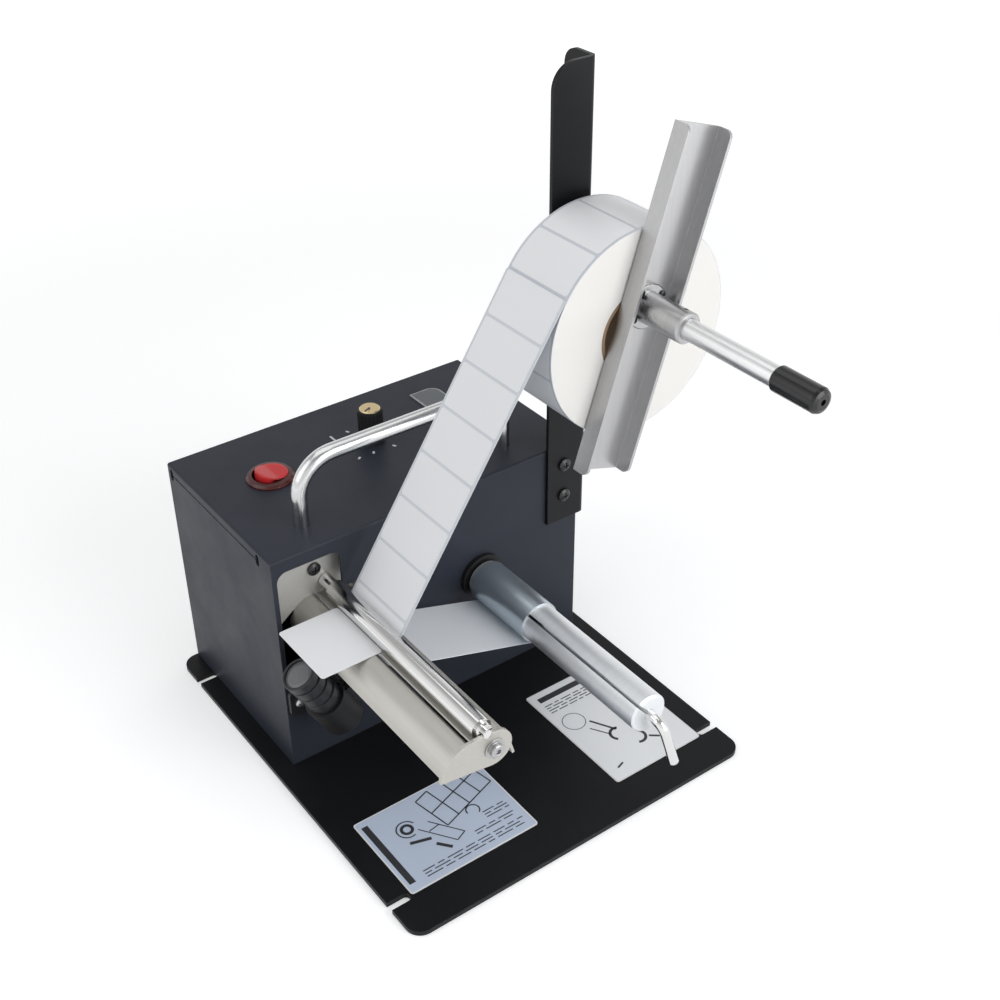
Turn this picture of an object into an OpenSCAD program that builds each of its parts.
// Desktop label dispenser: a web of labels comes off a roll on the supply axle,
// passes under a chrome pressure roller and over a peel blade, and the bare liner
// is wound on a driven take-up spindle. Origin: under the centre of the base plate,
// on the table. +X runs along the housing's front, +Y towards its back, +Z is up.

/* [Base plate] */
// Width of the base plate, along the housing's front
base_w = 200; // [190:1:240]
// Depth of the base plate, front to back
base_d = 234; // [225:1:280]
// Thickness of the base sheet
base_t = 2.5; // [2:0.1:4]
// Corner radius of the base plate
base_r = 8; // [3:0.5:14]
// Width of the open fixing slots at the sides
slot_w = 4.5; // [3.5:0.1:6]
// Length of the open fixing slots
slot_l = 11; // [6:0.5:14]
// Distance of the slots from the front and back edges
slot_inset = 21.5; // [18:0.5:30]

/* [Housing] */
// Width of the sheet-metal housing
case_w = 180; // [176:1:188]
// Depth of the housing
case_d = 107; // [100:1:112]
// Height of the housing above the base plate
case_h = 126.2; // [120:0.2:140]
// Thickness of the housing sheet
sheet_t = 1.5; // [1:0.1:2]
// Set-back of the housing from the base plate's back edge
case_back_gap = 0.7; // [0:0.1:3]
// Width of the inward flanges that the screws hold
tab_w = 11; // [9:0.5:14]

/* [Carrying handle] */
// Hole spacing of the handle
handle_span = 118; // [100:1:124]
// Radius of the handle rod
handle_r = 4; // [3:0.1:5]
// Height of the bar's centre over the housing
handle_h = 33.5; // [28:0.5:45]
// Bend radius at the rod's centre
handle_bend = 19; // [12:0.5:22]
// Place of the handle's middle along X
handle_x = -3; // [-8:0.1:4]
// Distance of the handle behind the housing's front
handle_back = 19.7; // [12:0.1:24]

/* [Controls] */
// Place of the power switch along X
switch_x = -54.4; // [-58:0.1:-46]
// Distance of the controls behind the housing's front
control_back = 64; // [56:0.5:72]
// Radius of the round switch's bezel
bezel_r = 12.2; // [11.5:0.1:13]
// Radius of the hole for the switch
switch_hole_r = 10; // [9.5:0.1:10.5]
// Travel of the rocker, in degrees
rocker_tilt = 9; // [6:0.5:11]
// Place of the speed knob along X
knob_x = 5; // [0:0.5:12]
// Radius of the speed knob at its base
knob_r = 7.4; // [6:0.1:9]
// Height of the speed knob
knob_h = 17; // [14:0.5:20]

/* [Supply arm and axle] */
// Width of the upright arm
arm_w = 24.5; // [22:0.5:26]
// Height of the arm's top over the table
arm_top = 327; // [297:1:347]
// Height of the arm's lower end over the table
arm_bottom = 84; // [81:0.5:89]
// Depth of the arm's side flange
arm_flange = 21; // [15:0.5:26]
// Thickness of the arm's sheet
arm_t = 2; // [1.5:0.1:2.4]
// Place of the arm's outer edge along X
arm_right = 94; // [93:0.1:97]
// Height of the upper arm screw
arm_screw_z = 118.3; // [116:0.1:120]
// Spacing of the two arm screws
arm_screw_gap = 18.7; // [16:0.1:20]
// Place of the supply axle along X
axle_x = 83.5; // [81:0.1:84]
// Height of the supply axle
axle_z = 228.5; // [222:0.5:242]
// Radius of the supply axle
axle_r = 5; // [4:0.1:6]
// Reach of the axle in front of the arm, with its cap
axle_reach = 159; // [145:1:175]
// Length of the rubber end cap
cap_l = 25; // [15:0.5:30]

/* [Label roll] */
// Outer radius of the label roll
roll_r = 51; // [35:0.5:55]
// Radius of the core's bore
core_bore_r = 20; // [18:0.1:22]
// Wall of the cardboard core
core_wall = 2; // [1.5:0.1:3]
// Width of the liner web
web_w = 43; // [30:0.5:43]
// Width of a label on the liner
label_w = 40; // [20:0.5:40]
// Thickness of the web as modelled
web_t = 0.3; // [0.25:0.05:0.4]
// Distance of the roll behind the front face of the arm
roll_off = 4.6; // [4:0.1:8]

/* [Guide channel] */
// Length of the aluminium guide channel
channel_l = 165; // [130:1:175]
// Width of the channel
channel_w = 28; // [25:0.5:30]
// Offset of the channel to the right of the axle
channel_off = 1.5; // [0:0.1:1.5]
// Depth of the channel's flanges
channel_d = 9.5; // [6:0.5:12]
// Thickness of the channel's sheet
channel_t = 1.5; // [1.2:0.1:2]
// Lean of the channel from upright, in degrees
channel_lean = 18; // [0:1:30]
// Radius of the collar's flange
flange_r = 10.9; // [10.5:0.1:10.9]
// Radius of the collar's barrel
collar_r = 7.5; // [7:0.1:8]
// Length of the collar's barrel
collar_l = 27; // [20:0.5:32]

/* [Peel unit] */
// Place of the pressure roller along X
roller_x = -58.4; // [-60:0.1:-57.5]
// Height of the pressure roller's axis
roller_z = 101; // [100.6:0.1:101.2]
// Radius of the pressure roller
roller_r = 5; // [4.8:0.1:5.1]
// Radius of the roller's end journals
journal_r = 2; // [1.8:0.1:2.2]
// Reach of the peel unit in front of the housing
peel_reach = 125.6; // [100:0.5:130]
// Depth of the far side plate behind the front face
far_plate_in = 8.2; // [7:0.1:9]
// Thickness of the near side plate
side_t = 1.8; // [1.5:0.1:2.5]
// Place of the blade's tie screw along X
tie_x = -55.2; // [-56:0.1:-54.5]
// Height of the blade's tie screw
tie_z = 91.7; // [91.2:0.1:92]
// Radius of the round end of the side plate
side_round_r = 9.3; // [9:0.1:9.6]
// Radius of the curve of the label table
table_r = 13.5; // [12:0.1:14]
// Thickness of the label table's sheet
table_t = 1.2; // [1:0.1:1.5]
// Length of the dispensed label in front of the peel edge
label_out = 32; // [15:0.5:36]

/* [Label sensor] */
// Place of the sensor's upper end along X
sensor_x = -91.4; // [-92:0.1:-89]
// Distance of the sensor's axis in front of the housing
sensor_y = 19.3; // [18:0.1:22]
// Height of the sensor's upper end
sensor_z = 77.4; // [75:0.1:79]
// Lean of the sensor from upright, in degrees
sensor_lean = 30; // [20:0.5:34]
// Radius of the sensor barrel
sensor_r = 8.6; // [8:0.1:9]
// Length of the sensor barrel
sensor_l = 50; // [46:0.5:52]

/* [Take-up spindle] */
// Place of the spindle along X
spindle_x = 27.5; // [22:0.1:30]
// Height of the spindle
spindle_z = 70; // [65:0.1:75]
// Radius of the spindle
spindle_r = 10; // [8:0.1:11]
// Reach of the spindle in front of the housing
spindle_reach = 132; // [110:1:140]
// Radius of the liner clip's pin
pin_r = 2.5; // [2:0.1:2.8]
// Length of the clip's bent handle
clip_handle = 24; // [15:0.5:28]
// Turn of the clip about the spindle, in degrees
clip_turn = 18; // [0:1:30]
// Thickness of the liner wound on the spindle
wrap_t = 1; // [0.6:0.1:2]
// Direction of the spindle's slot, in degrees from +X
slot_angle = 130; // [110:1:150]

/* [Hidden] */

// Clearances
fit = 0.05;       // running fit, on the radius
seat_gap = 0.3;   // curved faces of different pieces
screw_play = 0.3; // clearance holes, on the radius
bed = 0.02;       // faces that bed on each other

// Levels and faces worked out from the sizes above
floor_z = base_t;
sunk_r = 2.8;
sunk_h = 1.6;
top_z = floor_z + case_h;
back_y = base_d / 2 - case_back_gap;
front_y = back_y - case_d;
inner_y = front_y + sheet_t;
case_x = case_w / 2;
arm_y = front_y - arm_t;
arm_left = arm_right - arm_w;
roll_y1 = arm_y - roll_off;
roll_y0 = roll_y1 - web_w;
roll_z = axle_z - (core_bore_r - axle_r - seat_gap);
control_y = front_y + control_back;
handle_y = front_y + handle_back;
axle_end_y = arm_y - axle_reach;
m3 = 1.5;
m4 = 2;
far_plate_t = 2;
far_plate_y = front_y + far_plate_in;
spacer_x = -33;
spacer_zs = [88, 116];
near_plate_y = front_y - peel_reach;
near_inner_y = near_plate_y + side_t;
web_z = roller_z - roller_r - seat_gap - web_t;
channel_y = roll_y0 - 0.7;
channel_face_y = channel_y - channel_t;
flange_t = 3;
plate_t = 3;
spindle_end_y = front_y - spindle_reach;
shaft_r = 5;
motor_face_y = inner_y + 26;
motor_r = 17;

// The label web runs straight from the roll to the pressure roller, as the cross
// tangent of the two circles.
span_x = axle_x - roller_x;
span_z = roll_z - roller_z;
span = sqrt(span_x * span_x + span_z * span_z);
roll_off_r = roll_r + seat_gap + web_t / 2;
roller_off_r = roller_r + seat_gap + web_t / 2;
web_angle = atan2(span_z, span_x) + asin((roll_off_r + roller_off_r) / span);

module along_y(y0, y1) {
    translate([0, y1, 0]) rotate([90, 0, 0]) linear_extrude(y1 - y0) children();
}

module rod_y(x, z, y0, y1, r, n = 64) {
    translate([x, y1, z]) rotate([90, 0, 0]) cylinder(r = r, h = y1 - y0, $fn = n);
}

module round_rect(w, d, r) {
    union() {
        square([w - 2 * r, d], center = true);
        square([w, d - 2 * r], center = true);
        for (sx = [-1, 1], sy = [-1, 1])
            translate([sx * (w / 2 - r), sy * (d / 2 - r)]) circle(r = r, $fn = 48);
    }
}

// Pan-head screw with its head's seat at the origin and its shank along -Z
module pan_screw(r, len, head_r, head_h) {
    difference() {
        union() {
            translate([0, 0, -len]) cylinder(r = r, h = len + 0.1, $fn = 24);
            intersection() {
                cylinder(r = head_r, h = head_h, $fn = 32);
                translate([0, 0, head_h - head_r * 1.6]) sphere(r = head_r * 1.6, $fn = 48);
            }
        }
        for (a = [0, 90])
            rotate([0, 0, a]) translate([-head_r * 0.55, -0.35, head_h * 0.45])
                cube([head_r * 1.1, 0.7, head_h]);
    }
}

// Socket-head screw, seat at the origin, shank along -Z
module socket_screw(r, len, head_r, head_h, key_r) {
    difference() {
        union() {
            translate([0, 0, -len]) cylinder(r = r, h = len + 0.1, $fn = 24);
            cylinder(r = head_r, h = head_h - 0.4, $fn = 40);
            translate([0, 0, head_h - 0.4])
                cylinder(r1 = head_r, r2 = head_r - 0.4, h = 0.4, $fn = 40);
        }
        translate([0, 0, head_h * 0.4]) cylinder(r = key_r, h = head_h, $fn = 6);
    }
}

/* ---- Base ---- */

slot_y = base_d / 2 - slot_inset;
case_screw_x = case_x - sheet_t - tab_w / 2;
case_screw_ys = [front_y + 16, back_y - 16];

module base_plate() {
    color("#26282b")
        difference() {
            linear_extrude(base_t) difference() {
                round_rect(base_w, base_d, base_r);
                for (sx = [-1, 1], sy = [-1, 1]) {
                    translate([sx * (base_w / 2 - slot_l + slot_w / 2), sy * slot_y])
                        circle(r = slot_w / 2, $fn = 32);
                    translate([sx * (base_w / 2 - (slot_l - slot_w / 2) / 2 + 0.5), sy * slot_y])
                        square([slot_l - slot_w / 2 + 1, slot_w], center = true);
                }
            }
            for (sx = [-1, 1], y = case_screw_ys)
                translate([sx * case_screw_x, y, 0]) {
                    translate([0, 0, -1]) cylinder(r = m3 + screw_play, h = base_t + 2, $fn = 24);
                    translate([0, 0, -0.01])
                        cylinder(r1 = sunk_r + fit, r2 = m3 + fit, h = sunk_h, $fn = 32);
                }
            for (p = board_holes)
                translate([p[0], p[1], -1]) cylinder(r = m3 + fit, h = base_t + 2, $fn = 24);
        }
}

/* ---- Housing ---- */

// Cut-out for the peel unit, wider below where the blade passes through
cut_left = -87.5;
cut_right = -53.3;
cut_top = 121.2;
cut_low = 58;
cut_step = 99.4;
cut_wide = -42.4;
cut_r = 5.5;

module rounded_box2(x0, x1, z0, z1, r) {
    translate([(x0 + x1) / 2, (z0 + z1) / 2]) round_rect(x1 - x0, z1 - z0, r);
}

module peel_cutout() {
    rounded_box2(cut_left, cut_right, cut_low, cut_top, cut_r);
    rounded_box2(cut_left, cut_wide, cut_low, cut_step, 2);
}

arm_screw_x = axle_x - 3.7;
arm_screw_zs = [arm_screw_z, arm_screw_z - arm_screw_gap];
holder_screw_xs = [-84, -66];
holder_screw_z = 44;
relief_w = 3;
relief_l = 6.5;
relief_z = top_z - 5.2;
relief_ys = [front_y + 13, back_y - 4];
seam_w = 0.9;
rear_screw_x = case_x - sheet_t - tab_w / 2;
rear_screw_zs = [floor_z + 12, top_z - 12];
bush_r = 8.5;

// One sheet folded into top, front and two sides, open at the back and below
module housing_cover() {
    color("#2d3035")
        difference() {
            union() {
                difference() {
                    translate([0, 0, floor_z]) folded_block(case_w, front_y, back_y, case_h, 1.2);
                    translate([0, sheet_t, floor_z - 1])
                        translate([-case_x + sheet_t, front_y, 0])
                            cube([case_w - 2 * sheet_t, case_d + 1, case_h + 1 - sheet_t]);
                    // seam under each top edge, with a relief slot at both its ends
                    for (sx = [-1, 1]) {
                        translate([sx * case_x - seam_w / 2, relief_ys[0], relief_z - seam_w / 2])
                            cube([seam_w, relief_ys[1] - relief_ys[0], seam_w]);
                        for (y = relief_ys)
                            translate([sx * case_x, y, relief_z]) rotate([90, 0, 90])
                                linear_extrude(4 * sheet_t, center = true)
                                    round_rect(relief_w, relief_l, relief_w / 2 - 0.01);
                    }
                }
                // inward flanges on the base plate
                for (sx = [-1, 1])
                    translate([sx * (case_x - sheet_t - tab_w / 2) - tab_w / 2 - 0.01, inner_y + 3, floor_z])
                        cube([tab_w + 0.02, case_d - 12, sheet_t]);
                // tabs behind the rear panel
                for (sx = [-1, 1], z = rear_screw_zs)
                    translate([sx * (case_x - sheet_t - tab_w / 2) - tab_w / 2 - 0.01,
                            back_y - 2 * sheet_t - 0.5, z - 6])
                        cube([tab_w + 0.02, sheet_t, 12]);
            }
            for (sx = [-1, 1], y = case_screw_ys)
                translate([sx * case_screw_x, y, floor_z - 1]) cylinder(r = m3 + fit, h = 4, $fn = 24);
            for (sx = [-1, 1], z = rear_screw_zs)
                rod_y(sx * rear_screw_x, z, back_y - 6, back_y, m3 + fit, 24);
            // front face
            along_y(front_y - 1, inner_y + 0.5) peel_cutout();
            rod_y(spindle_x, spindle_z, front_y - 1, inner_y + 1, bush_r + fit);
            for (z = arm_screw_zs)
                rod_y(arm_screw_x, z, front_y - 1, inner_y + 1, m4 + screw_play, 24);
            for (x = holder_screw_xs)
                rod_y(x, holder_screw_z, front_y - 1, inner_y + 1, m3 + fit, 24);
            // top face
            translate([switch_x, control_y, top_z - 3]) cylinder(r = switch_hole_r + 0.1, h = 5, $fn = 64);
            translate([knob_x, control_y, top_z - 3]) cylinder(r = pot_neck_r + 0.1, h = 5, $fn = 40);
            for (sx = [-1, 1])
                translate([handle_x + sx * handle_span / 2, handle_y, top_z - 3])
                    cylinder(r = m4 + screw_play, h = 5, $fn = 24);
        }
}

// Solid block with the outer bend radius on its three folded edges
module folded_block(w, y0, y1, h, r) {
    intersection() {
        translate([0, y1, 0]) rotate([90, 0, 0]) linear_extrude(y1 - y0) union() {
            translate([-w / 2, 0]) square([w, h - r]);
            translate([-w / 2 + r, 0]) square([w - 2 * r, h]);
            for (sx = [-1, 1]) translate([sx * (w / 2 - r), h - r]) circle(r = r, $fn = 32);
        }
        translate([-w / 2 - 1, 0, 0]) rotate([90, 0, 90]) linear_extrude(w + 2) union() {
            translate([y0, 0]) square([y1 - y0, h - r]);
            translate([y0 + r, 0]) square([y1 - y0 - r, h]);
            translate([y0 + r, h - r]) circle(r = r, $fn = 32);
        }
    }
}

vent_n = 7;
vent_w = 46;
vent_h = 3;
vent_x = 38;
vent_z = 63;
inlet_x = -52;
inlet_z = 31;
inlet_r = 5.5;

module rear_panel() {
    pw = case_w - 2 * sheet_t - 0.4;
    ph = case_h - sheet_t - 0.3;
    color("#2d3035")
        difference() {
            translate([-pw / 2, back_y - sheet_t - 0.5, floor_z]) cube([pw, sheet_t, ph]);
            for (i = [0:vent_n - 1])
                translate([vent_x, back_y - sheet_t / 2, vent_z + i * 2 * vent_h]) rotate([90, 0, 0])
                    linear_extrude(8, center = true) round_rect(vent_w, vent_h, vent_h / 2 - 0.01);
            rod_y(inlet_x, inlet_z, back_y - 6, back_y + 2, inlet_r + fit, 40);
            for (sx = [-1, 1], z = rear_screw_zs)
                rod_y(sx * rear_screw_x, z, back_y - 6, back_y + 2, m3 + screw_play, 24);
        }
}

// Countersunk screws up through the base plate into the housing's flanges
module case_screws() {
    color("#1c1c1e")
        for (sx = [-1, 1], y = case_screw_ys)
            translate([sx * case_screw_x, y, 0]) difference() {
                rotate_extrude($fn = 32) polygon([
                    [0, 0.1], [sunk_r - 0.1, 0.1], [m3, sunk_h], [m3, 7], [0, 7]]);
                for (a = [0, 90])
                    rotate([0, 0, a]) translate([-1.5, -0.35, -0.5]) cube([3, 0.7, 1.4]);
            }
}

module rear_screws() {
    color("#1c1c1e")
        for (sx = [-1, 1], z = rear_screw_zs)
            translate([sx * rear_screw_x, back_y - 0.5, z]) rotate([-90, 0, 0])
                pan_screw(m3, 6, 2.8, 1.9);
}

// Round panel socket for a low-voltage plug
module power_inlet() {
    color("#161616")
        translate([inlet_x, back_y - 0.5, inlet_z]) rotate([-90, 0, 0]) difference() {
            union() {
                translate([0, 0, -14]) cylinder(r = inlet_r, h = 14.5, $fn = 40);
                cylinder(r = inlet_r + 1.6, h = 2, $fn = 40);
                translate([0, 0, -sheet_t - 2.5]) cylinder(r = inlet_r + 2.2, h = 2.5, $fn = 6);
                for (sx = [-1, 1])
                    translate([sx * 2.6 - 0.4, -1.2, -19]) cube([0.8, 2.4, 6]);
            }
            difference() {
                translate([0, 0, -9]) cylinder(r = 2.9, h = 12, $fn = 32);
                translate([0, 0, -9.5]) cylinder(r = 1, h = 10, $fn = 24);
            }
        }
}

/* ---- Handle ---- */

module carry_handle() {
    lift = handle_h;
    color("#c9ccd0")
        translate([handle_x, handle_y, top_z]) difference() {
            union() {
                for (sx = [-1, 1]) {
                    translate([sx * handle_span / 2, 0, 0])
                        cylinder(r = handle_r, h = lift - handle_bend, $fn = 48);
                    translate([sx * (handle_span / 2 - handle_bend), 0, lift - handle_bend])
                        rotate([90, 0, 0]) rotate([0, 0, sx > 0 ? 0 : 90])
                            rotate_extrude(angle = 90, $fn = 96)
                                translate([handle_bend, 0]) circle(r = handle_r, $fn = 48);
                }
                translate([-handle_span / 2 + handle_bend, 0, lift]) rotate([0, 90, 0])
                    cylinder(r = handle_r, h = handle_span - 2 * handle_bend, $fn = 48);
            }
            for (sx = [-1, 1])
                translate([sx * handle_span / 2, 0, -1]) cylinder(r = m4 + fit, h = 11, $fn = 24);
        }
}

module handle_screws() {
    color("#8d9094")
        for (sx = [-1, 1])
            translate([handle_x + sx * handle_span / 2, handle_y, top_z - sheet_t]) {
                rotate([180, 0, 0]) translate([0, 0, 0.9]) pan_screw(m4, 8, 3.6, 2.4);
                translate([0, 0, -0.9]) difference() {
                    cylinder(r = 4.6, h = 0.9, $fn = 32);
                    translate([0, 0, -0.1]) cylinder(r = m4 + fit, h = 1.2, $fn = 24);
                }
            }
}

/* ---- Controls ---- */

rocker_r = 8.6;
rocker_len = 16.6;
rocker_half = 7;

// Round switch housing that snaps into the top face, with three blade contacts
module switch_body() {
    color("#7d2a22")
        translate([switch_x, control_y, top_z]) difference() {
            union() {
                rotate_extrude($fn = 72) polygon([
                    [0, -20], [switch_hole_r - 0.6, -20], [switch_hole_r, -19], [switch_hole_r, 0],
                    [bezel_r, 0], [bezel_r, 0.9], [bezel_r - 1.2, 2.1], [rocker_r + 0.7, 2.3],
                    [0, 2.3]]);
                for (i = [-1:1])
                    translate([i * 5 - 0.4, -2.4, -28]) cube([0.8, 4.8, 8.5]);
            }
            // well for the rocker
            translate([0, 0, -7]) intersection() {
                cylinder(r = rocker_r + 0.5, h = 12, $fn = 64);
                translate([-20, -rocker_half - 0.4, 0]) cube([40, 2 * rocker_half + 0.8, 12]);
            }
            // pin of the rocker
            rotate([90, 0, 0]) translate([0, -2.5, 0])
                cylinder(r = 1.2 + fit, h = 2 * rocker_half + 3, center = true, $fn = 24);
        }
}

// Domed rocker that turns on a pin along Y, at rest tipped to the left
module switch_rocker() {
    color("#c02a1c")
        translate([switch_x, control_y, top_z - 2.5]) rotate([0, rocker_tilt, 0]) union() {
            intersection() {
                rotate([90, 0, 0]) cylinder(r = 8.3, h = 2 * rocker_half, center = true, $fn = 96);
                cylinder(r = rocker_r - 0.2, h = 30, center = true, $fn = 64);
                translate([-20, -20, -2.4]) cube([40, 40, 9.6]);
            }
            rotate([90, 0, 0]) cylinder(r = 1.2, h = 2 * rocker_half + 2.6, center = true, $fn = 24);
        }
}

pot_neck_r = 3.5;
pot_shaft_r = 3;

// Potentiometer under the top face; its neck and nut clamp the sheet
module speed_pot() {
    color("#9a9c9f")
        translate([knob_x, control_y, top_z]) difference() {
            union() {
                translate([0, 0, -sheet_t - 9]) cylinder(r = 8, h = 9, $fn = 48);
                translate([0, 0, -sheet_t - 0.1]) cylinder(r = pot_neck_r, h = sheet_t + 4.1, $fn = 40);
                cylinder(r = 5.4, h = 1.1, $fn = 6);
                translate([-6.5, -12, -sheet_t - 7]) cube([13, 5, 1.2]);
                for (i = [-1:1]) translate([i * 4.5 - 0.6, -15.5, -sheet_t - 6.7]) cube([1.2, 4, 0.6]);
            }
            translate([0, 0, -sheet_t - 3]) cylinder(r = pot_shaft_r + fit, h = 20, $fn = 40);
        }
}

// Fluted knob with its shaft, which turns in the potentiometer's neck
module speed_knob() {
    flutes = 20;
    grip_r = knob_r - 0.8;
    color("#141415")
        translate([knob_x, control_y, top_z]) union() {
            difference() {
                translate([0, 0, 1.5]) union() {
                    cylinder(r = knob_r, h = 3.4, $fn = 96);
                    translate([0, 0, 3.3]) linear_extrude(knob_h - 4.1) difference() {
                        circle(r = grip_r, $fn = 96);
                        for (i = [0:flutes - 1])
                            rotate(i * 360 / flutes) translate([grip_r + 0.15, 0]) circle(r = 0.45, $fn = 16);
                    }
                    translate([0, 0, knob_h - 0.9]) cylinder(r = grip_r - 0.4, h = 0.9, $fn = 96);
                }
                translate([0, 0, 1.4]) cylinder(r = 6, h = 3.2, $fn = 48);
                translate([0, 0, 1.5 + knob_h - 1.2]) cylinder(r = knob_r - 2, h = 2, $fn = 64);
            }
            translate([0, 0, -sheet_t - 2.8]) cylinder(r = pot_shaft_r, h = 9, $fn = 40);
        }
}

// Spun brass disc in the knob's top, with a pointer groove
module knob_cap() {
    color("#c9a45a")
        translate([knob_x, control_y, top_z + 1.5 + knob_h - 1.2]) difference() {
            union() {
                cylinder(r = knob_r - 2 - bed, h = 1.3, $fn = 64);
                translate([0, 0, 1.3])
                    cylinder(r1 = knob_r - 2 - bed, r2 = knob_r - 2.6, h = 0.5, $fn = 64);
            }
            translate([0, 0, 1.45]) rotate([0, 0, 235]) translate([0, -0.4, 0])
                cube([knob_r, 0.8, 1]);
        }
}

/* ---- Supply arm and axle ---- */

arm_corner_r = 12;
arm_flange_r = 8;

// Upright angle with one large rounded corner on each leg
module supply_arm() {
    bend = arm_t + 1;
    h = arm_top - arm_bottom;
    color("#2a2c30")
        difference() {
            union() {
                // front leg
                along_y(arm_y, front_y - bed) difference() {
                    translate([arm_left, arm_bottom]) square([arm_w - bend, h]);
                    difference() {
                        translate([arm_left - 1, arm_top - arm_corner_r])
                            square([arm_corner_r + 1, arm_corner_r + 1]);
                        translate([arm_left + arm_corner_r, arm_top - arm_corner_r])
                            circle(r = arm_corner_r, $fn = 96);
                    }
                }
                // side leg
                translate([arm_right - arm_t, 0, 0]) rotate([90, 0, 90]) linear_extrude(arm_t)
                    difference() {
                        translate([arm_y + bend, arm_bottom]) square([arm_flange - bend, h]);
                        difference() {
                            translate([arm_y + arm_flange - arm_flange_r, arm_top - arm_flange_r])
                                square([arm_flange_r + 1, arm_flange_r + 1]);
                            translate([arm_y + arm_flange - arm_flange_r, arm_top - arm_flange_r])
                                circle(r = arm_flange_r, $fn = 64);
                        }
                    }
                // bend between the legs
                translate([arm_right - bend, arm_y + bend, arm_bottom]) rotate([0, 0, -90])
                    rotate_extrude(angle = 90, $fn = 64) translate([bend - arm_t, 0]) square([arm_t, h]);
            }
            for (z = arm_screw_zs)
                rod_y(arm_screw_x, z, arm_y - 1, front_y + 1, m4 + screw_play, 24);
            rod_y(axle_x, axle_z, arm_y - 1, front_y + 1, thread_r + fit);
        }
}

module arm_screws() {
    color("#18191b")
        for (z = arm_screw_zs) {
            translate([arm_screw_x, arm_y, z]) rotate([90, 0, 0])
                pan_screw(m4, arm_t + sheet_t + plate_t + 4, 3.6, 2.4);
            translate([arm_screw_x, inner_y + plate_t + 3.2, z]) rotate([90, 0, 0]) difference() {
                cylinder(r = 4, h = 3.2, $fn = 6);
                translate([0, 0, -1]) cylinder(r = m4 + 0.01, h = 6, $fn = 24);
            }
        }
}

thread_r = 4;
spacer_l = roll_off - 0.6;
nut_r = 7.2;

// Chromed rod with a threaded end through the arm
module supply_axle() {
    color("#d5d7da")
        union() {
            translate([axle_x, arm_y, axle_z]) rotate([90, 0, 0]) rotate_extrude($fn = 64) polygon([
                [0, 0], [axle_r, 0], [axle_r, axle_reach - 4], [axle_r - 0.8, axle_reach - 3],
                [0, axle_reach - 3]]);
            rod_y(axle_x, axle_z, arm_y - 0.1, front_y + 8, thread_r);
        }
}

module axle_spacer() {
    color("#b9bcc0")
        translate([axle_x, arm_y, axle_z]) rotate([90, 0, 0]) difference() {
            rotate_extrude($fn = 64) polygon([
                [0, 0], [9, 0], [9, spacer_l - 0.8], [8.2, spacer_l], [0, spacer_l]]);
            translate([0, 0, -1]) cylinder(r = axle_r + bed, h = spacer_l + 2, $fn = 64);
        }
}

module axle_nut() {
    color("#8d9094")
        translate([axle_x, front_y + 6.2, axle_z]) rotate([90, 0, 0]) union() {
            difference() {
                intersection() {
                    cylinder(r = nut_r, h = 5.2, $fn = 6);
                    translate([0, 0, -2]) cylinder(r1 = nut_r - 2, r2 = nut_r + 2.5, h = 8, $fn = 48);
                }
                translate([0, 0, -1]) cylinder(r = thread_r + bed, h = 8, $fn = 48);
            }
            translate([0, 0, 5.2]) difference() {
                cylinder(r = nut_r, h = 1, $fn = 48);
                translate([0, 0, -1]) cylinder(r = thread_r + bed, h = 3, $fn = 48);
            }
        }
}

// Moulded rubber end cap with a small vent in its domed end
module axle_cap() {
    color("#141414")
        translate([axle_x, axle_end_y, axle_z]) rotate([-90, 0, 0]) difference() {
            rotate_extrude($fn = 64) polygon([
                [0, 0], [axle_r - 1.4, 0], [axle_r + 0.2, 0.7], [axle_r + 1, 2.2],
                [axle_r + 1, cap_l - 0.6], [axle_r + 0.6, cap_l], [0, cap_l]]);
            translate([0, 0, 3]) cylinder(r = axle_r + bed, h = cap_l, $fn = 64);
            translate([0, 0, -1]) cylinder(r = 1.4, h = 6, $fn = 24);
        }
}

/* ---- Label roll ---- */

module roll_core() {
    color("#b08d62")
        translate([axle_x, roll_y0 + web_w - 0.2, roll_z]) rotate([90, 0, 0]) difference() {
            cylinder(r = core_bore_r + core_wall, h = web_w - 0.4, $fn = 96);
            translate([0, 0, -1]) cylinder(r = core_bore_r, h = web_w + 2, $fn = 96);
        }
}

module label_roll() {
    color("#ecebe4")
        translate([axle_x, roll_y1, roll_z]) rotate([90, 0, 0]) difference() {
            cylinder(r = roll_r, h = web_w, $fn = 160);
            translate([0, 0, -1]) cylinder(r = core_bore_r + core_wall + bed, h = web_w + 2, $fn = 96);
        }
}

/* ---- Guide channel ---- */

collar_screw_pcd_r = 9.2;
collar_screw_r = 1;

module on_channel() {
    translate([axle_x, channel_y, axle_z]) rotate([0, channel_lean, 0]) children();
}

// Folded channel with rounded flange corners, flanges away from the roll
module guide_channel() {
    color("#b6b8ba")
        on_channel() difference() {
            translate([0, 0, -channel_l / 2]) linear_extrude(channel_l) difference() {
                translate([channel_off - channel_w / 2, -channel_d]) square([channel_w, channel_d]);
                translate([channel_off - channel_w / 2 + channel_t, -channel_d - 1])
                    square([channel_w - 2 * channel_t, channel_d + 1 - channel_t]);
            }
            for (sz = [-1, 1])
                translate([channel_off, -channel_d, sz * channel_l / 2]) rotate([0, 90, 0])
                    linear_extrude(channel_w + 2, center = true) difference() {
                        square([8, 8], center = true);
                        translate([sz * 4, 4]) circle(r = 4, $fn = 40);
                    }
            rotate([90, 0, 0]) translate([0, 0, -1]) cylinder(r = axle_r + 0.3, h = 6, $fn = 48);
            for (i = [0:3])
                rotate([90, 45 + i * 90, 0]) translate([collar_screw_pcd_r, 0, -1])
                    cylinder(r = collar_screw_r + fit, h = 6, $fn = 24);
        }
}

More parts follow.
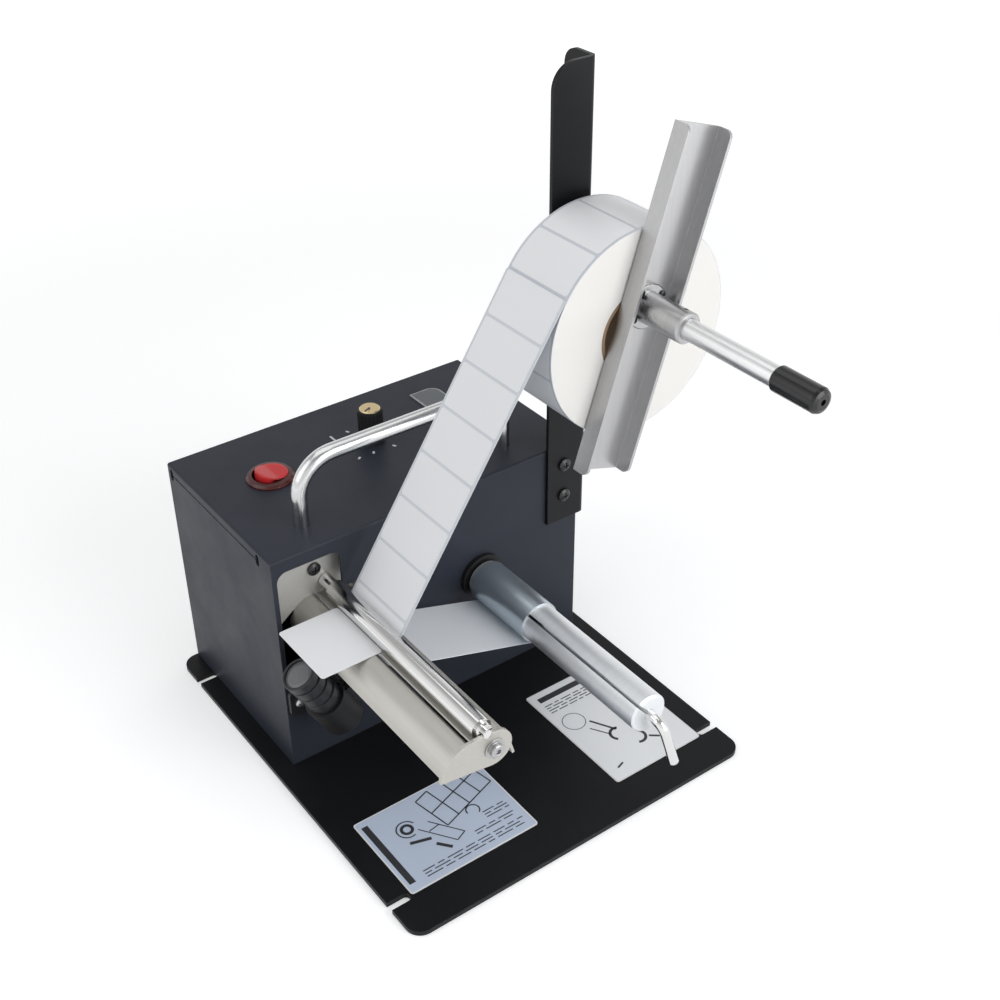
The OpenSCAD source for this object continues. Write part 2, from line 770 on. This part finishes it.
// Flanged clamping collar that slides on the axle
module collar_hub() {
    color("#aeb0b3")
        on_channel() translate([0, -channel_t, 0]) rotate([90, 0, 0]) difference() {
            rotate_extrude($fn = 64) polygon([
                [0, 0], [flange_r, 0], [flange_r, flange_t - 0.5], [flange_r - 0.5, flange_t],
                [collar_r, flange_t],
                [collar_r, flange_t + collar_l - 0.8], [collar_r - 0.8, flange_t + collar_l],
                [0, flange_t + collar_l]]);
            translate([0, 0, -1]) cylinder(r = axle_r + fit, h = collar_l + 8, $fn = 64);
            for (i = [0:3])
                rotate([0, 0, 45 + i * 90]) translate([collar_screw_pcd_r, 0, -1])
                    cylinder(r = collar_screw_r + fit, h = 8, $fn = 24);
            translate([0, 0, flange_t + collar_l - 5]) rotate([-90, 0, 0])
                cylinder(r = m3 + fit, h = 20, $fn = 24);
        }
}

module collar_screws() {
    color("#77797c")
        on_channel() translate([0, -channel_t - flange_t, 0])
            for (i = [0:3])
                rotate([90, 45 + i * 90, 0]) translate([collar_screw_pcd_r, 0, 0])
                    pan_screw(collar_screw_r, flange_t + channel_t - 0.1, 1.5, 1.3);
}

module set_screw() {
    color("#55575a")
        on_channel() translate([0, -channel_t - flange_t - collar_l + 5, 0]) difference() {
            translate([0, 0, axle_r + 0.2]) cylinder(r = m3, h = 2.1, $fn = 24);
            translate([0, 0, axle_r + 1]) cylinder(r = 0.8, h = 5, $fn = 6);
        }
}

/* ---- Peel unit ---- */

// Steel plate behind the front face that stiffens it for the arm and the drive
module mounting_plate() {
    x0 = cut_wide + 3;
    color("#8f9194")
        difference() {
            along_y(inner_y + bed, inner_y + plate_t)
                rounded_box2(x0, case_x - sheet_t - 1, floor_z + 14, top_z - sheet_t - 4, 4);
            rod_y(spindle_x, spindle_z, inner_y - 1, inner_y + 8, bush_r + fit);
            for (z = arm_screw_zs)
                rod_y(arm_screw_x, z, inner_y - 1, inner_y + 8, m4 + screw_play, 24);
            for (p = bracket_holes)
                rod_y(p[0], p[1], inner_y - 1, inner_y + 8, m3 + fit, 24);
            for (z = spacer_zs)
                rod_y(spacer_x, z, inner_y - 1, inner_y + 8, m3 + fit, 24);
        }
}

// Plate that carries the far ends of the roller, blade and table, with a flange
// along the housing's left wall
module far_side_plate() {
    x0 = -case_x + sheet_t + bed;
    z1 = top_z - sheet_t - 1.5;
    color("#d8d4c6")
        difference() {
            union() {
                along_y(far_plate_y, far_plate_y + far_plate_t) difference() {
                    rounded_box2(x0, spacer_x + 6, 81, z1, 4);
                    translate([x0 - 1, 81]) rotate(38) translate([-1, -20]) square([17, 20]);
                }
                translate([x0, far_plate_y + 0.5, 98]) cube([far_plate_t, 14, z1 - 98 - 4]);
            }
            rod_y(roller_x, roller_z, far_plate_y - 1, far_plate_y + 4, journal_r + fit, 40);
            rod_y(tie_x, tie_z, far_plate_y - 1, far_plate_y + 4, m4 + fit, 24);
            rod_y(fix_x, fix_z, far_plate_y - 1, far_plate_y + 4, m4 + fit, 24);
            for (z = spacer_zs)
                rod_y(spacer_x, z, far_plate_y - 1, far_plate_y + 4, m3 + screw_play, 24);
        }
}

// Tubes that hold the far side plate off the mounting plate
module plate_spacers() {
    color("#8f9194")
        for (z = spacer_zs)
            difference() {
                rod_y(spacer_x, z, inner_y + plate_t, far_plate_y, 4, 40);
                rod_y(spacer_x, z, inner_y, far_plate_y + 1, m3 + screw_play, 24);
            }
}

module spacer_screws() {
    color("#8d9094")
        for (z = spacer_zs)
            translate([spacer_x, far_plate_y + far_plate_t, z]) rotate([-90, 0, 0])
                pan_screw(m3, far_plate_t + far_plate_in - sheet_t, 2.8, 1.9);
}

fix_x = -64;
fix_z = 110;

// Outline of the near side plate: a round end about the tie screw and a long
// nose that follows the label table
nose_r = table_r + 3.4;
nose_x = tie_x - 11;
nose_z = web_z + web_t - 14 + 2.4;
module side_outline() {
    difference() {
        union() {
            translate([tie_x, tie_z]) circle(r = side_round_r, $fn = 96);
            intersection() {
                translate([nose_x, tie_z + side_round_r - nose_r]) circle(r = nose_r, $fn = 128);
                polygon([[nose_x - 30, 40], [nose_x - 30, 140], [nose_x, 140], [nose_x, 40]]);
            }
            translate([nose_x - 1, tie_z - side_round_r])
                square([tie_x - nose_x + 1, 2 * side_round_r]);
        }
        // lower edge rises gently from the nose to the round end
        polygon([[nose_x - 40, 40], [nose_x - 40, 88.2], [nose_x - nose_r, 86.4],
            [tie_x - 1.2, tie_z - side_round_r], [tie_x - 1.2, 40]]);
    }
}

module near_side_plate() {
    color("#d9d6cc")
        difference() {
            along_y(near_plate_y, near_inner_y - bed) side_outline();
            rod_y(tie_x, tie_z, near_plate_y - 1, near_inner_y + 1, m4 + fit, 40);
            // open notch that the roller's journal drops into
            rod_y(roller_x, roller_z, near_plate_y - 1, near_inner_y + 1, journal_r + fit, 40);
            along_y(near_plate_y - 1, near_inner_y + 1)
                translate([roller_x - journal_r - fit, roller_z]) square([2 * journal_r + 2 * fit, 10]);
        }
}

blade_tip_x = roller_x - 5.2;

// Wedge-shaped bar whose front edge peels the liner off the labels
module peel_blade() {
    zt = web_z - bed;
    color("#cfcdc4")
        difference() {
            along_y(near_inner_y, far_plate_y) union() {
                polygon([
                    [blade_tip_x, zt - 0.3], [blade_tip_x + 0.3, zt], [tie_x + 6.2, zt],
                    [tie_x + 7.6, zt - 0.5], [tie_x + 8.6, zt - 1.6], [tie_x + 8.6, zt - 5],
                    [tie_x + 7, tie_z - 5], [tie_x + 4, tie_z - 6.4], [tie_x - 2, tie_z - 6.4],
                    [tie_x - 4.6, tie_z - 3.6]]);
                polygon([
                    [tie_x + 7.4, zt - 1.6], [tie_x + 8.6, zt - 1.6], [tie_x + 12, zt - 14],
                    [tie_x + 10.8, zt - 14.4]]);
            }
            rod_y(tie_x, tie_z, near_inner_y - 1, near_inner_y + 14, m4 + fit, 40);
            rod_y(tie_x, tie_z, far_plate_y - 14, far_plate_y + 1, m4 + fit, 40);
        }
}

// Curved sheet that carries the free label past the blade, with a rounded rear lip
module label_table() {
    cx = blade_tip_x - 2.6;
    cz = web_z - bed - table_r;
    color("#dad5c6")
        along_y(near_inner_y, far_plate_y) union() {
            intersection() {
                difference() {
                    translate([cx, cz]) circle(r = table_r, $fn = 160);
                    translate([cx, cz]) circle(r = table_r - table_t, $fn = 160);
                }
                polygon([[cx, cz], [cx, cz + 30], [cx - 40, cz + 30], [cx - 40, cz + 5]]);
            }
            // rear lip turned down beside the peel edge
            difference() {
                translate([cx, cz + table_r - 2]) circle(r = 2, $fn = 40);
                translate([cx, cz + table_r - 2]) circle(r = 2 - table_t, $fn = 32);
                translate([cx - 5, cz + table_r - 5]) square([5, 10]);
                translate([cx - 5, cz + table_r - 12]) square([10, 10]);
            }
            translate([cx + 2 - table_t, cz + table_r - 6]) square([table_t, 4]);
        }
}

module tie_screws() {
    color("#a9abae") {
        translate([tie_x, near_plate_y, tie_z]) rotate([90, 0, 0]) union() {
            translate([0, 0, 0.8]) socket_screw(m4, 14, 3.4, 2.4, 1.5);
            difference() {
                cylinder(r = 5, h = 0.8, $fn = 48);
                translate([0, 0, -0.1]) cylinder(r = m4 + bed, h = 2, $fn = 24);
            }
        }
        translate([tie_x, far_plate_y + far_plate_t, tie_z]) rotate([-90, 0, 0])
            socket_screw(m4, 13, 3.4, 2.4, 1.5);
    }
}

// Black round-head screw that fixes the far side plate, with its nut
module side_plate_screw() {
    color("#17181a") {
        translate([fix_x, far_plate_y, fix_z]) rotate([90, 0, 0]) pan_screw(m4, 7, 3.4, 2.4);
        translate([fix_x, far_plate_y + far_plate_t + 3.2, fix_z]) rotate([90, 0, 0]) difference() {
            cylinder(r = 4, h = 3.2, $fn = 6);
            translate([0, 0, -1]) cylinder(r = m4 + 0.01, h = 6, $fn = 24);
        }
    }
}

// Polished roller with stepped ends; its journals lie in the side plates
module pressure_roller() {
    y0 = near_inner_y + 0.4;
    y1 = far_plate_y - 0.4;
    body_end = front_y - 1.5;
    color("#dfe1e3")
        union() {
            rod_y(roller_x, roller_z, y0 + 2.6, body_end, roller_r, 96);
            rod_y(roller_x, roller_z, y0, y1, roller_r - 1.3, 64);
            rod_y(roller_x, roller_z, near_plate_y + 0.2, far_plate_y + far_plate_t + 2, journal_r, 40);
        }
}

/* ---- Label sensor ---- */

module on_sensor() {
    translate([sensor_x, front_y - sensor_y, sensor_z]) rotate([0, -sensor_lean, 0])
        rotate([180, 0, 0]) children();
}

rim_r = sensor_r - 1.3;
sleeve_s0 = 25;
sleeve_s1 = 44;
sleeve_r = sensor_r + 2;

// Barrel with a rim, three grooves and a plug-in lower end
module sensor_body() {
    groove = 0.8;
    color("#3a3c40")
        on_sensor() difference() {
            rotate_extrude($fn = 64) polygon(concat(
                [[0, 2.2], [rim_r, 2.2], [rim_r, 0], [sensor_r - 0.3, 0], [sensor_r, 0.3]],
                [for (s = [4.5, 11, 17.5]) each [
                    [sensor_r, s], [sensor_r - groove, s + 0.3],
                    [sensor_r - groove, s + 1.3], [sensor_r, s + 1.6]]],
                [[sensor_r, sensor_l - 4], [sensor_r - 1, sensor_l - 3], [6, sensor_l - 3],
                [6, sensor_l], [0, sensor_l]]));
        }
}

module sensor_lens() {
    color("#85878b")
        on_sensor() translate([0, 0, 0.9]) rotate_extrude($fn = 64) polygon([
            [0, -0.4], [rim_r - 2, -0.1], [rim_r - bed, 0.4], [rim_r - bed, 1.3], [0, 1.3]]);
}

// Moulded sleeve with a clamping ear and a foot on the housing's front face
module sensor_holder() {
    foot_x0 = -89.2;
    foot_x1 = -60;
    color("#303236")
        difference() {
            union() {
                on_sensor() translate([0, 0, sleeve_s0]) cylinder(r = sleeve_r, h = sleeve_s1 - sleeve_s0, $fn = 64);
                // ear with the clamping slot, towards +X
                on_sensor() translate([sleeve_r - 2, -4, sleeve_s0 + 3]) cube([9, 8, 13]);
                // foot and neck
                along_y(front_y - 3, front_y - bed) rounded_box2(foot_x0, foot_x1, 36, 52, 3);
                translate([-79, front_y - sensor_y, 38]) cube([9, sensor_y - 1, 12]);
            }
            on_sensor() translate([0, 0, sleeve_s0 - 3])
                cylinder(r = sensor_r + bed, h = sleeve_s1 - sleeve_s0 + 6, $fn = 64);
            on_sensor() translate([sensor_r - 2, -0.7, sleeve_s0 - 1]) cube([14, 1.4, 22]);
            on_sensor() translate([sleeve_r + 3, 0, sleeve_s0 + 9.5]) rotate([90, 0, 0])
                cylinder(r = m3 + fit, h = 20, center = true, $fn = 24);
            for (x = holder_screw_xs)
                rod_y(x, holder_screw_z, front_y - 6, front_y + 1, m3 + screw_play, 24);
        }
}

module holder_screws() {
    color("#8b8d90") {
        for (x = holder_screw_xs)
            translate([x, front_y - 3, holder_screw_z]) rotate([90, 0, 0]) pan_screw(m3, 7, 2.6, 1.7);
        on_sensor() translate([sleeve_r + 3, -4, sleeve_s0 + 9.5]) rotate([90, 0, 0])
            pan_screw(m3, 8, 2.6, 1.7);
    }
}

/* ---- Take-up spindle and drive ---- */

pin_len = spindle_reach - 16;

// Slotted spindle with a bore for the clip's pin and a thinner shaft at the back
module takeup_spindle() {
    color("#c3c6c9")
        difference() {
            union() {
                translate([spindle_x, spindle_end_y, spindle_z]) rotate([-90, 0, 0])
                    rotate_extrude($fn = 96) polygon([
                        [0, 0], [spindle_r - 1, 0], [spindle_r, 1], [spindle_r, spindle_reach - 4],
                        [0, spindle_reach - 4]]);
                rod_y(spindle_x, spindle_z, front_y - 4.1, inner_y + plate_t + 4, shaft_r);
            }
            rod_y(spindle_x, spindle_z, spindle_end_y - 1, spindle_end_y + pin_len, pin_r + fit, 40);
            translate([spindle_x, spindle_end_y - 1, spindle_z]) rotate([0, -slot_angle, 0])
                translate([0, 0, -0.75]) cube([spindle_r + 1, pin_len, 1.5]);
        }
}

// Flanged bush clamped in the front face and the plate behind it
module spindle_bush() {
    color("#151517")
        difference() {
            union() {
                rod_y(spindle_x, spindle_z, front_y - 2.6, front_y - bed, bush_r + 4);
                rod_y(spindle_x, spindle_z, front_y - 1, inner_y + plate_t, bush_r);
            }
            rod_y(spindle_x, spindle_z, front_y - 5, inner_y + 9, shaft_r + fit);
        }
}

// First turns of bare liner wound on the spindle
module liner_wrap() {
    color("#b9c2cc")
        difference() {
            rod_y(spindle_x, spindle_z, roll_y0, min(roll_y1, front_y - 5), spindle_r + wrap_t, 96);
            rod_y(spindle_x, spindle_z, roll_y0 - 1, roll_y1 + 9, spindle_r + bed, 96);
        }
}

// Pin that traps the liner in the slot, with a bent handle at its free end
module liner_clip() {
    bend = 6;
    color("#d4d6d8")
        translate([spindle_x, spindle_end_y - 3, spindle_z]) rotate([0, -clip_turn, 0]) union() {
            rotate([-90, 0, 0]) cylinder(r = pin_r, h = pin_len, $fn = 40);
            translate([0, 0, -bend]) rotate([0, 0, 180]) rotate([0, -90, 0])
                rotate_extrude(angle = 90, $fn = 64) translate([bend, 0])
                    circle(r = pin_r, $fn = 40);
            translate([0, -bend, -bend]) rotate([180, 0, 0])
                rotate_extrude($fn = 40) polygon([
                    [0, 0], [pin_r, 0], [pin_r, clip_handle - 1], [pin_r - 1, clip_handle],
                    [0, clip_handle]]);
        }
}

coupling_r = 8;

module shaft_coupling() {
    y0 = inner_y + plate_t + 1;
    y1 = motor_face_y - 3;
    color("#a6a8ab")
        difference() {
            union() {
                rod_y(spindle_x, spindle_z, y0, y1, coupling_r);
                rod_y(spindle_x, spindle_z, y1 - 3, motor_face_y + 4, 3, 40);
            }
            rod_y(spindle_x, spindle_z, y0 - 1, y0 + 3 + bed, shaft_r + bed);
            for (y = [y0 + 6, y1 - 5])
                translate([spindle_x, y, spindle_z + 4]) cylinder(r = 1.5, h = 8, $fn = 24);
        }
}

motor_hole_r = 13;

// Gear head and motor can on the spindle's axis
module gear_motor() {
    y0 = motor_face_y;
    color("#8a8c90")
        difference() {
            union() {
                rod_y(spindle_x, spindle_z, y0, y0 + 24, motor_r, 72);
                rod_y(spindle_x, spindle_z, y0 + 23.9, y0 + 54, motor_r - 1.6, 72);
                rod_y(spindle_x, spindle_z, y0 + 53.9, y0 + 57, 5, 40);
                for (sx = [-1, 1])
                    translate([spindle_x + sx * 9 - 1.2, y0 + 53, spindle_z - 0.4]) cube([2.4, 7, 0.8]);
            }
            rod_y(spindle_x, spindle_z, y0 - 1, y0 + 6, 3 + fit, 40);
            for (sx = [-1, 1])
                rod_y(spindle_x + sx * motor_hole_r, spindle_z, y0 - 1, y0 + 5, m3 + fit, 24);
        }
}

bracket_w = 44;
bracket_holes = [for (sx = [-1, 1], sz = [-1, 1])
    [spindle_x + sx * (bracket_w / 2 + 5), spindle_z + sz * 10]];

// Folded bracket that stands the motor off the mounting plate
module motor_bracket() {
    y0 = inner_y + plate_t + bed;
    t = 2;
    color("#9b9da0")
        difference() {
            union() {
                along_y(motor_face_y - t, motor_face_y - bed)
                    translate([spindle_x, spindle_z]) square([bracket_w, 36], center = true);
                for (sx = [-1, 1]) {
                    translate([spindle_x + sx * (bracket_w / 2 - t / 2) - t / 2, y0, spindle_z - 18])
                        cube([t, motor_face_y - y0 - 0.1, 36]);
                    translate([spindle_x + sx * (bracket_w / 2 + 4.5) - 5, y0, spindle_z - 18])
                        cube([10, t, 36]);
                }
            }
            rod_y(spindle_x, spindle_z, motor_face_y - t - 1, motor_face_y + 1, coupling_r + 1);
            for (sx = [-1, 1])
                rod_y(spindle_x + sx * motor_hole_r, spindle_z, motor_face_y - t - 1, motor_face_y + 1,
                    m3 + fit, 24);
            for (p = bracket_holes)
                rod_y(p[0], p[1], y0 - 1, y0 + t + 1, m3 + fit, 24);
        }
}

module motor_screws() {
    color("#6f7174") {
        for (sx = [-1, 1])
            translate([spindle_x + sx * motor_hole_r, motor_face_y - 2, spindle_z]) rotate([90, 0, 0])
                pan_screw(m3, 6, 2.6, 1.7);
        for (p = bracket_holes)
            translate([p[0], inner_y + plate_t + 2 + bed, p[1]]) rotate([-90, 0, 0])
                pan_screw(m3, 4.6, 2.6, 1.7);
    }
}

/* ---- Electronics ---- */

board_x0 = -76;
board_y0 = front_y + 42;
board_w = 62;
board_d = 48;
board_z = floor_z + 8;
board_holes = [for (fx = [0, 1], fy = [0, 1])
    [board_x0 + 4 + fx * (board_w - 8), board_y0 + 4 + fy * (board_d - 8)]];

module board_posts() {
    color("#c8b26a")
        for (p = board_holes) {
            translate([p[0], p[1], floor_z]) cylinder(r = 3, h = board_z - floor_z - bed, $fn = 6);
            translate([p[0], p[1], 0.1]) cylinder(r = m3, h = base_t, $fn = 24);
            translate([p[0], p[1], board_z - 0.1]) cylinder(r = m3, h = 4, $fn = 24);
        }
}

module control_board() {
    color("#1f5c3a")
        difference() {
            translate([board_x0, board_y0, board_z]) cube([board_w, board_d, 1.6]);
            for (p = board_holes)
                translate([p[0], p[1], board_z - 1]) cylinder(r = m3 + fit, h = 4, $fn = 24);
        }
}

module board_parts() {
    z = board_z + 1.6 + bed;
    color("#2b2b2e")
        translate([board_x0, board_y0, z]) {
            translate([10, 10, 0]) cube([18, 14, 12]);
            translate([34, 9, 0]) cube([10, 4, 16]);
            for (x = [35, 47]) translate([x, 24, 0]) cylinder(r = 4, h = 12, $fn = 32);
            translate([12, 32, 0]) cube([16, 8, 3]);
            translate([34, 36, 0]) cube([20, 7, 8]);
        }
}

/* ---- Web, liner and label ---- */

roller_leave = web_angle - 90;

// Web from the roll, straight to the pressure roller and round it to the blade
module label_web() {
    r_mid = roller_off_r;
    t0 = [roller_x + r_mid * cos(roller_leave), roller_z + r_mid * sin(roller_leave)];
    len = sqrt(span * span - pow(roll_off_r + roller_off_r, 2));
    color("#eef0f4")
        along_y(roll_y0, roll_y1) union() {
            translate(t0) rotate(web_angle) translate([-0.3, -web_t / 2]) square([len + 0.3, web_t]);
            translate([roller_x, roller_z]) difference() {
                circle(r = r_mid + web_t / 2, $fn = 96);
                circle(r = r_mid - web_t / 2, $fn = 96);
                rotate(roller_leave) square([20, 20]);
                rotate(roller_leave) translate([-20, -0.02]) square([20, 30]);
                translate([-20, -20]) square([20, 40]);
                rotate(roller_leave) translate([-20, 0]) square([40, 20]);
            }
        }
}

// Bare liner turned round the blade and led down to the spindle
module liner_web() {
    tip = [blade_tip_x, web_z - 0.3];
    low = [tie_x - 4.6, tie_z - 3.6];
    keel = [tie_x - 1, tie_z - 6.4];
    t = web_t;
    target_r = spindle_r + wrap_t + t / 2 + seat_gap;
    dx = spindle_x - keel[0];
    dz = spindle_z - (keel[1] - 1);
    dist = sqrt(dx * dx + dz * dz);
    ang = atan2(dz, dx) - asin(target_r / dist);
    run = sqrt(dist * dist - target_r * target_r);
    color("#e3e7ee")
        along_y(roll_y0, roll_y1) union() {
            // along the blade's lower face
            polygon([
                [tip[0] - 0.35, tip[1] - 0.1], [low[0] - 0.3, low[1] - 0.35],
                [keel[0] - 0.6, keel[1] - 1.15], [keel[0], keel[1] - 1.15], [keel[0] + 0.1, keel[1] - 0.85],
                [keel[0] - 0.5, keel[1] - 0.85], [low[0] - 0.05, low[1] - 0.05],
                [tip[0] - 0.05, tip[1] - 0.1]]);
            translate([keel[0], keel[1] - 1]) rotate(ang) translate([-0.2, -t / 2]) square([run + 0.2, t]);
        }
}

// One label pushed out past the blade, resting over the label table
module dispensed_label() {
    color("#f1f2f6")
        translate([blade_tip_x + 2 - label_out, (roll_y0 + roll_y1) / 2 - label_w / 2, web_z])
            linear_extrude(web_t) translate([label_out / 2, label_w / 2]) round_rect(label_out, label_w, 1.5);
}

placard_t = 0.4;

module placard(x0, x1, y0, y1) {
    translate([(x0 + x1) / 2, (y0 + y1) / 2, floor_z + bed]) linear_extrude(placard_t)
        round_rect(x1 - x0, y1 - y0, 1.5);
}

module placard_left() {
    color("#b9bfc7")
        placard(-base_w / 2 + 12, -base_w / 2 + 85, -base_d / 2 + 21, -base_d / 2 + 73);
}

module placard_right() {
    color("#b9bfc7")
        placard(base_w / 2 - 67, base_w / 2 - 11.5, -base_d / 2 + 19, -base_d / 2 + 95);
}

base_plate();
housing_cover();
rear_panel();
case_screws();
rear_screws();
power_inlet();
carry_handle();
handle_screws();
switch_body();
switch_rocker();
speed_pot();
speed_knob();
knob_cap();
supply_arm();
arm_screws();
supply_axle();
axle_spacer();
axle_nut();
axle_cap();
roll_core();
label_roll();
guide_channel();
collar_hub();
collar_screws();
set_screw();
mounting_plate();
far_side_plate();
plate_spacers();
spacer_screws();
near_side_plate();
peel_blade();
label_table();
tie_screws();
side_plate_screw();
pressure_roller();
sensor_body();
sensor_lens();
sensor_holder();
holder_screws();
takeup_spindle();
spindle_bush();
liner_wrap();
liner_clip();
shaft_coupling();
gear_motor();
motor_bracket();
motor_screws();
control_board();
board_parts();
board_posts();
label_web();
liner_web();
dispensed_label();
placard_left();
placard_right();
